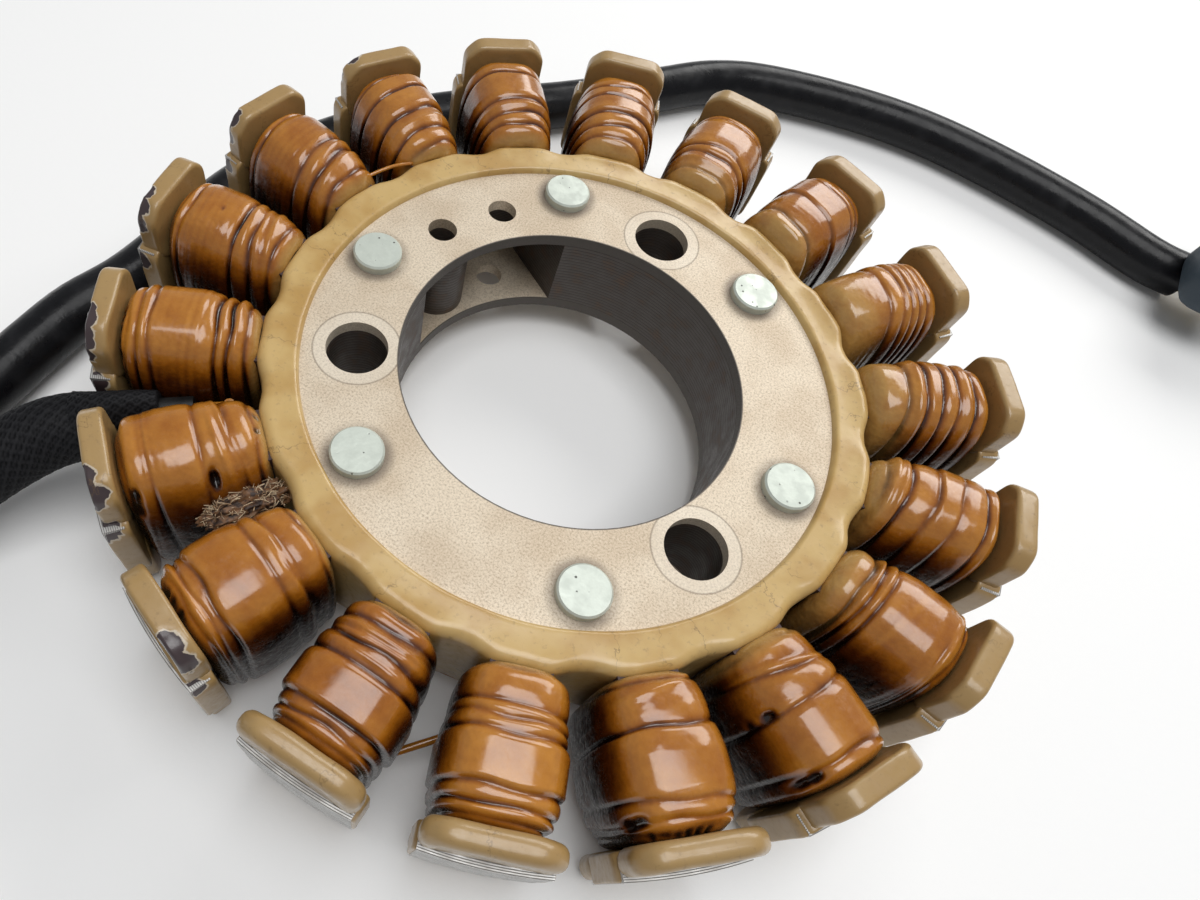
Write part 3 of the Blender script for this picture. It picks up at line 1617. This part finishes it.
    @staticmethod
    def soften(values: np.ndarray, passes: int) -> np.ndarray:
        """Return a field blurred along the coil and round it.

        Args:
            values: The field.
            passes: Number of blurs.

        Returns:
            The blurred field.
        """
        for _ in range(passes):
            padded = np.pad(values, ((1, 1), (0, 0)), mode="edge")
            values = 0.25 * padded[:-2] + 0.5 * padded[1:-1] + 0.25 * padded[2:]
            values = 0.25 * np.roll(values, 1, 1) + 0.5 * values + 0.25 * np.roll(values, -1, 1)
        return values

    def wind(self, number: int) -> bpy.types.Object:
        """Wind one coil on its pole.

        Args:
            number: The coil's number, counted round from the lead's slot.

        Returns:
            The coil.
        """
        plan = COIL_PLANS[number]
        rng = np.random.default_rng(self.seed + number)
        along = np.linspace(0, 1, self.rows)[:, None]
        flat_across, flat_up = self.section(plan.square)
        across, up = flat_across[None, :], flat_up[None, :]
        turn = np.linspace(0, 2 * math.pi, self.cols, endpoint=False)[None, :]
        depth = self.banded(plan, rng, along, across, up) + self.crossed(plan, along, across, up)
        depth = depth + self.turned(plan, rng, along, across, up)
        for waves in (1, 2, 3):
            swell = np.cos(waves * turn + rng.uniform(0, 6))
            depth = depth + self.sway / waves * swell * np.cos(3 * waves * along + rng.uniform(0, 6))
        depth = self.soften(depth, 1) - self.pierced(plan, rng, along, across, up)
        hollow = self.soften(depth, self.cavity_blur) - depth
        cavity = np.clip(hollow / self.cavity_depth + 0.1, 0, 1)
        root = np.clip(1 - along * self.length / self.root_taper, 0, 1) ** 2
        tip = np.clip(1 - (1 - along) * self.length / self.tip_taper, 0, 1) ** 2
        depth = depth * np.sqrt(1 - self.root_close * root - self.tip_close * tip)
        depth = np.clip(depth, self.least, self.build_full * self.most)
        climb = np.clip(1.25 - along / plan.climb + 0 * across, 0, 1) * np.clip(0.4 + up, 0, 1)
        wall = np.clip((np.abs(across) - 0.72) / 0.28, 0, 1) ** 1.5 + np.clip(0.1 - up, 0, 0.4) + 0 * along
        under = np.where(up < 0, self.build_under, 0.0) * (1 - np.minimum(1, along / self.full_at))
        under = under * np.clip(-up * 3, 0, 1)
        radius = self.root_r + along * self.length + 0 * depth
        half_w = across * (self.hole_w / 2 + depth)
        half_h = up * (self.hole_h / 2 + depth * self.end_ratio + under)
        outer = np.stack([radius, half_w, half_h], -1)
        wire_w = flat_across * self.hole_w / 2
        wire_h = flat_up * self.hole_h / 2
        ends = (np.full_like(flat_across, r) for r in (self.root_r, self.tip_r))
        inner = [np.stack([end, wire_w, wire_h], -1) for end in ends]
        shares = self.face_shares
        root_face = [inner[0] * (1 - f) + outer[0] * f for f in shares]
        tip_face = [inner[1] * (1 - f) + outer[-1] * f for f in reversed(shares)]
        points = np.stack([*root_face, *outer, *tip_face, inner[0]])
        dark = np.ones((len(shares), self.cols))
        marks = {
            "cavity": np.concatenate([dark, cavity, dark, dark[:1]]),
            "climb": np.concatenate([dark, climb, 0 * dark, dark[:1]]),
            "wall": np.concatenate([dark, np.clip(wall, 0, 1), dark, dark[:1]]),
            "tint": np.full((len(points), self.cols), plan.tint + rng.uniform(-0.05, 0.05)),
        }
        closed_marks = {name: self.closed(values) for name, values in marks.items()}
        surface = self.closed(self.placed(points, number))
        coil = grid_surface(f"wound_coil_{number:02d}", surface, closed_marks)
        dress(coil, self.palette.varnish)
        return seat(coil, Slot.WINDING, f"coil_{number:02d}")

    @staticmethod
    def closed(grid: np.ndarray) -> np.ndarray:
        """Return a grid with its first column repeated at the end."""
        return np.concatenate([grid, grid[:, :1]], 1)

    @staticmethod
    def placed(points: np.ndarray, number: int) -> np.ndarray:
        """Return points along +X turned onto a pole and lifted to the stack's middle.

        Args:
            points: Points in millimetres.
            number: The coil's number.

        Returns:
            The moved points.
        """
        turn = math.radians(CORE.pole_angle(number))
        x, y, z = points[..., 0], points[..., 1], points[..., 2]
        turned_x = x * math.cos(turn) - y * math.sin(turn)
        turned_y = x * math.sin(turn) + y * math.cos(turn)
        return np.stack([turned_x, turned_y, z + CORE.mid_z], -1)

    def make(self) -> None:
        """Wind every coil."""
        for number in range(1, CORE.poles + 1):
            self.wind(number)


# Insulation


@dataclass(frozen=True)
class Chip:
    """A place where the coat broke away: across and up the tip, with its radius, in millimetres."""

    across: float
    up: float
    radius: float


CHIPS: dict[int, tuple[Chip, ...]] = {
    1: (Chip(4.3, 9.6, 1.3), Chip(3.0, 10.6, 1.0), Chip(5.6, 4.5, 1.1)),
    2: (Chip(4.4, 9.4, 1.4), Chip(3.2, 10.6, 1.2), Chip(5.9, 5.0, 0.9)),
    3: (Chip(-5.6, 4.9, 0.7),),
    4: (Chip(5.8, 5.1, 0.5),),
    15: (Chip(4.7, 8.6, 0.9), Chip(3.6, 10.6, 0.8)),
    16: (Chip(4.8, 8.2, 1.1), Chip(4.2, 10.2, 1.0), Chip(5.9, 4.0, 0.9)),
    17: (Chip(4.9, 8.6, 1.1), Chip(4.2, 10.4, 1.1), Chip(2.4, 10.8, 0.8), Chip(6.0, 3.6, 1.0)),
    18: (
        Chip(4.8, 8.4, 1.0), Chip(4.5, 10.0, 1.0), Chip(3.0, 10.8, 0.9),
        Chip(1.2, 10.9, 0.6), Chip(6.0, 4.2, 1.1),
    ),
}


@dataclass
class TipCoats:
    """The baked coat on each pole's tip and its two tabs."""

    palette: Palette
    inner_r: float = 48.25
    outer_r: float = 50.58
    tip_inner_r: float = 48.4
    tip_outer_r: float = 50.87
    tip_half: float = 6.32
    tip_half_h: float = 5.4
    ground_half_h: float = 4.98
    tab_half: float = 5.4
    wide_half: float = 6.15
    wide: tuple[int, ...] = (3, 4, 5)
    tab_low: float = 2.65
    tab_top: float = 11.05
    tab_foot: float = 10.8
    tab_cut: float = 1.7
    wide_cut: float = 1.7
    tip_cut: float = 0.5
    tab_edge_r: float = 0.45
    wide_edge_r: float = 0.95
    tip_edge_r: float = 0.25
    columns: int = 84
    softening: int = 4
    waviness: float = 0.07
    wave_rate: float = 0.3
    rag_rate: float = 1.4
    rag_share: float = 0.3
    apart: float = 17.0
    chip_depth: float = 0.14
    chip_inset: float = 0.2
    chip_spread: float = 1.7
    chip_edge: tuple[float, float] = (0.3, 0.42)
    face_shares: tuple[float, ...] = (0.0, 0.3, 0.6, 0.8, 0.92)
    edge_steps: int = 6
    wall_steps: int = 5

    def cushion(
        self, half: float, low: float, high: float, cut: float, depth: tuple[float, float, float]
    ) -> np.ndarray:
        """Return a block with cut corners and round edges, as rows of points through its thickness.

        Args:
            half: Half its width.
            low: Its lower height from the stack's middle.
            high: Its upper height from the stack's middle.
            cut: Size of the cut at the corners seen along the pole.
            depth: Its inner radius, its outer radius and the radius of its edges.

        Returns:
            Array of rows by columns by 3.
        """
        inner, outer, edge = depth
        corners = [
            (half, low + cut), (half, high - cut), (half - cut, high), (cut - half, high),
            (-half, high - cut), (-half, low + cut), (cut - half, low), (half - cut, low), (half, low + cut),
        ]
        outline = even_steps(np.array([(0.0, y, z) for y, z in corners]), self.columns + 1)[:-1]
        for _ in range(self.softening):
            outline = (np.roll(outline, 1, 0) + 2 * outline + np.roll(outline, -1, 0)) / 4
        outline = np.concatenate([outline, outline[:1]])
        middle = np.array([0.0, 0.0, (low + high) / 2])
        reach = np.array([1.0, half, (high - low) / 2])
        face = np.array(self.face_shares)
        bend = np.linspace(0, math.pi / 2, self.edge_steps)
        wall = np.linspace(inner + edge, outer - edge, self.wall_steps)[1:-1]
        spread = np.concatenate([face, np.ones(len(bend) * 2 + len(wall)), face[::-1]])
        round_in = edge * (1 - np.sin(bend))
        inset = np.concatenate([face * 0 + edge, round_in, wall * 0, round_in[::-1], face * 0 + edge])
        curve = edge * (1 - np.cos(bend))
        place = np.concatenate([face * 0 + inner, inner + curve, wall, outer - curve[::-1], face * 0 + outer])
        scale = spread[:, None] * (1 - inset[:, None] / reach)
        points = middle + (outline - middle)[None] * scale[:, None]
        points[..., 0] = place[:, None]
        return points

    def template(self, half: float, cut: float, edge_r: float, tip_h: float) -> bpy.types.Object:
        """Model the coat of the pole that points along +X.

        Args:
            half: Half the tabs' width.
            cut: Size of the cut at the tabs' corners.
            edge_r: Radius of the tabs' edges.
            tip_h: Half the height of the coat beside the tip.

        Returns:
            The coat.
        """
        tip = (self.tip_inner_r, self.tip_outer_r, self.tip_edge_r)
        tab = (self.inner_r, self.outer_r, edge_r)
        blocks = [
            grid_surface("tip", self.cushion(self.tip_half, -tip_h, tip_h, self.tip_cut, tip)),
            grid_surface("upper_tab", self.cushion(half, self.tab_low, self.tab_top, cut, tab)),
            grid_surface("lower_tab", self.cushion(half, -self.tab_foot, -self.tab_low, cut, tab)),
        ]
        return join(blocks, "tip_coat")

    def worn(self, coat: bpy.types.Object, number: int) -> None:
        """Give one coat its own waves and chips, then turn it onto its pole.

        Args:
            coat: The coat.
            number: The pole's number.
        """
        mesh = coat.data
        count = len(mesh.vertices)
        place = np.empty(count * 3)
        mesh.vertices.foreach_get("co", place)
        place = place.reshape(-1, 3) / MM
        facing = np.empty(count * 3)
        mesh.vertices.foreach_get("normal", facing)
        facing = facing.reshape(-1, 3)
        shift = Vector((0.0, 0.0, self.apart * number))
        wave = np.array([noise.noise(Vector(p) * self.wave_rate + shift) for p in place])
        rag = np.array([noise.noise(Vector(p) * self.rag_rate + shift) for p in place])
        chip = np.zeros(count)
        for spot in CHIPS.get(number, ()):
            centre = np.array([self.outer_r - self.chip_inset, spot.across, spot.up])
            far = np.linalg.norm(place - centre, axis=1)
            chip = np.maximum(chip, 1 - far / spot.radius / self.chip_spread)
        chip = np.clip(chip + self.rag_share * rag * (chip > 0), 0, 1)
        whole, gone = self.chip_edge
        dent = self.chip_depth * np.clip((chip - whole) / (gone - whole), 0, 1)
        place += facing * (self.waviness * wave - dent)[:, None]
        place[:, 0] = np.clip(place[:, 0], self.inner_r - 0.05, self.tip_outer_r)
        layer = mesh.attributes.new("chip", "FLOAT", "POINT")
        layer.data.foreach_set("value", chip.astype(np.float32))
        turned = CoilMaker.placed(place, number)
        mesh.vertices.foreach_set("co", (turned * MM).ravel())
        mesh.update()

    def make(self) -> None:
        """Coat every tip."""
        narrow = self.template(self.tab_half, self.tab_cut, self.tab_edge_r, self.tip_half_h)
        wide = self.template(self.wide_half, self.wide_cut, self.wide_edge_r, self.ground_half_h)
        for number in range(1, CORE.poles + 1):
            template = wide if number in self.wide else narrow
            coat = template.copy()
            coat.data = template.data.copy()
            coat.name = f"tip_coat_{number:02d}"
            bpy.context.scene.collection.objects.link(coat)
            self.worn(coat, number)
            smooth(coat)
            dress(coat, self.palette.epoxy)
            seat(coat, Slot.EPOXY, "epoxy_insulation")
        for template in (narrow, wide):
            bpy.data.objects.remove(template)


@dataclass
class RingCoat:
    """The baked coat on the yoke: a rounded bead round each bare face and fillets to every pole."""

    palette: Palette
    rows: int = 900
    inner_r: float = 30.0
    outer_r: float = 33.85
    reach: float = 0.55
    root_half: float = 4.6
    bead_h: float = 0.72
    shoulder: float = 1.25
    fillet_past: float = 1.0
    fillet_w: float = 3.2
    lift_share: float = 0.6
    lower_lift: float = 0.3
    ripple_rate: float = 9.0
    ripple_r: float = 0.12
    ripple_h: float = 0.10
    bead_steps: int = 15
    wall_steps: int = 9
    crest_share: float = 0.55

    def profile(self, outer: np.ndarray, lift: np.ndarray) -> tuple[np.ndarray, np.ndarray]:
        """Return radius and height over the bare face from the bare edge to the outer wall's middle.

        Args:
            outer: Outer radius at each angle.
            lift: How far the outer shoulder climbs at each angle.

        Returns:
            Radii and heights, each with a row for every angle.
        """
        share = np.linspace(0, 1, self.bead_steps)[None, :]
        top_out = outer[:, None] - self.shoulder
        rise = np.clip(share * 5.5, 0, 1)
        bead_r = self.inner_r + (top_out - self.inner_r) * share
        bead_z = self.bead_h * np.sqrt(1 - (1 - rise) ** 2) + lift[:, None] * share**3 * self.crest_share
        bend = np.linspace(0, math.pi / 2, self.wall_steps)[None, 1:]
        bend_r = top_out + self.shoulder * np.sin(bend)
        crest = self.bead_h + lift[:, None] * self.crest_share
        swell = lift[:, None] * (1 - self.crest_share) * np.sin(bend)
        bend_z = crest - self.shoulder * (1 - np.cos(bend)) + swell
        down = np.linspace(0, 1, self.wall_steps)[None, 1:]
        wall_z = down * (-CORE.stack_h / 2 - bend_z[:, -1:]) + bend_z[:, -1:]
        wall_r = outer[:, None] + 0 * wall_z
        return np.concatenate([bead_r, bend_r, wall_r], 1), np.concatenate([bead_z, bend_z, wall_z], 1)

    def make(self) -> None:
        """Model the coat as one closed ring."""
        angle = np.linspace(0, 360, self.rows + 1)
        pole = np.rint((angle - CORE.first_angle) / CORE.pitch).astype(int)
        off = (angle - CORE.first_angle - CORE.pitch * pole) * math.pi / 180 * self.outer_r
        near = np.clip((self.root_half + self.fillet_past - np.abs(off)) / self.fillet_w, 0, 1)
        near = near * near * (3 - 2 * near)
        lifts = np.array([COIL_PLANS[k % CORE.poles + 1].lift for k in pole])
        lift = lifts * near * self.lift_share
        rate = self.ripple_rate
        rounds = [Vector((math.cos(a) * rate, math.sin(a) * rate, 0.0)) for a in np.radians(angle)]
        ripple = np.array([noise.noise(place) for place in rounds])
        outer = self.outer_r + self.reach * near + self.ripple_r * ripple
        radius, height = self.profile(outer, lift + self.ripple_h * ripple)
        low_radius, low_height = self.profile(outer, self.lower_lift * near)
        upper_z = CORE.top_face_z + height
        lower_z = CORE.low_face_z - low_height
        points_r = np.concatenate([radius, low_radius[:, ::-1][:, 1:]], 1)
        points_z = np.concatenate([upper_z, lower_z[:, ::-1][:, 1:]], 1)
        points_r = np.concatenate([points_r, points_r[:, :1]], 1)
        points_z = np.concatenate([points_z, points_z[:, :1]], 1)
        turn = np.radians(angle)[:, None]
        points = np.stack([points_r * np.cos(turn), points_r * np.sin(turn), points_z], -1)
        ring = grid_surface("ring_coat", points)
        dress(ring, self.palette.epoxy)
        seat(ring, Slot.EPOXY, "epoxy_insulation")


# Core, plates and small pieces


@dataclass
class Debris:
    """What lies between the coils: a link wire, a drawn strand of varnish and burnt fibre."""

    palette: Palette
    link_route: tuple[Point, ...] = (
        (4.4, -43.9, 3.7), (5.31, -42.74, 3.5), (8.36, -39.17, 3.5), (9.3, -38.1, 3.7),
    )
    link_r: float = 0.42
    strip_route: tuple[Point, ...] = (
        (-34.9, 8.2, 17.5), (-34.04, 9.94, 18.0), (-32.7, 12.6, 18.2), (-31.4, 14.9, 17.8),
    )
    strip_r: float = 0.22
    slot_angle: float = 239.4
    clump_middle: Point = (38.0, 0.0, 15.4)
    clump_size: Point = (4.3, 1.7, 1.5)
    clump_bumps: tuple[tuple[float, float], ...] = ((2.2, 0.35), (6.0, 0.22), (15.0, 0.1))
    fibres: int = 190
    seed: int = 71

    def spot(self, along: float, across: float, up: float) -> Point:
        """Return a point of the slot from its radius, its place across and its height.

        Args:
            along: Radius.
            across: Place across.
            up: Height.

        Returns:
            The point.
        """
        turn = math.radians(self.slot_angle)
        x = along * math.cos(turn) - across * math.sin(turn)
        y = along * math.sin(turn) + across * math.cos(turn)
        return (x, y, up)

    def clump(self) -> bpy.types.Object:
        """Model the burnt lump as a ball pulled out of shape.

        Returns:
            The lump.
        """
        deselect_all()
        bpy.ops.mesh.primitive_ico_sphere_add(subdivisions=5, radius=1.0)
        lump = bpy.context.object
        lump.name = "burnt_lump"
        for vertex in lump.data.vertices:
            way = vertex.co.normalized()
            bumps = sum(noise.noise(way * scale) * height for scale, height in self.clump_bumps)
            spots = zip(self.clump_middle, self.clump_size, way)
            place = [middle + size * share * (1 + bumps) for middle, size, share in spots]
            vertex.co = Vector(self.spot(*place)) * MM
        weld(lump)
        smooth(lump)
        dress(lump, self.palette.crumb)
        return seat(lump, Slot.FIBRE)

    def wisps(self) -> bpy.types.Object:
        """Scatter curled fibres over the lump.

        Returns:
            The fibres.
        """
        rng = np.random.default_rng(self.seed)
        hairs = []
        for k in range(self.fibres):
            way = rng.normal(0, 1, 3)
            way[2] = abs(way[2]) * 0.9
            way /= np.linalg.norm(way)
            start = np.array(self.clump_middle) + np.array(self.clump_size) * way
            lean = rng.normal(0, 1, 3) * (1.0, 0.7, 0.45)
            lean *= rng.uniform(0.4, 0.95) / np.linalg.norm(lean)
            curl = rng.normal(0, 0.18, 3)
            route = [self.spot(*(start - lean)), self.spot(*(start + curl)), self.spot(*(start + lean))]
            hairs.append(swept(f"fibre_{k:03d}", route, rng.uniform(0.03, 0.065), 5, 4))
        wisp = join(hairs, "burnt_fibres")
        dress(wisp, self.palette.fibre)
        return seat(wisp, Slot.FIBRE)

    def make(self) -> None:
        """Lay the wires and the burnt fibre."""
        for name, route, radius in (
            ("slot_link_wire", self.link_route, self.link_r),
            ("varnish_strand", self.strip_route, self.strip_r),
        ):
            wire = swept(name, route, radius)
            dress(wire, self.palette.varnish)
            seat(wire, Slot.WINDING)
        self.clump()
        self.wisps()


@dataclass
class Core:
    """Finishes on the CAD nodes of core, plates, rivets and links."""

    palette: Palette

    def make(self) -> None:
        """Dress the nodes."""
        nodes = frame["nodes"]
        dress(nodes["lamination_core"], self.palette.lamination)
        dress(nodes["upper_end_plate"], self.palette.plate)
        dress(nodes["lower_end_plate"], self.palette.plate)
        dress(nodes["rivets"], self.palette.zinc)
        dress(nodes["crossover_wires"], self.palette.varnish)
        dress(nodes["star_joint_sleeve"], self.palette.crumb)
        dress(nodes["lead_joint_sleeves"], self.palette.lead)


def main() -> None:
    """Build the scene: camera, studio, harness, core, coils, coats and debris."""
    logging.basicConfig(level=logging.INFO, format="%(name)s: %(message)s")
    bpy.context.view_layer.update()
    PhotoCamera().make()
    Studio().make()
    palette = Palette()
    Harness(palette).make()
    Core(palette).make()
    CoilMaker(palette).make()
    TipCoats(palette).make()
    RingCoat(palette).make()
    Debris(palette).make()


if __name__ == "__main__":
    main()
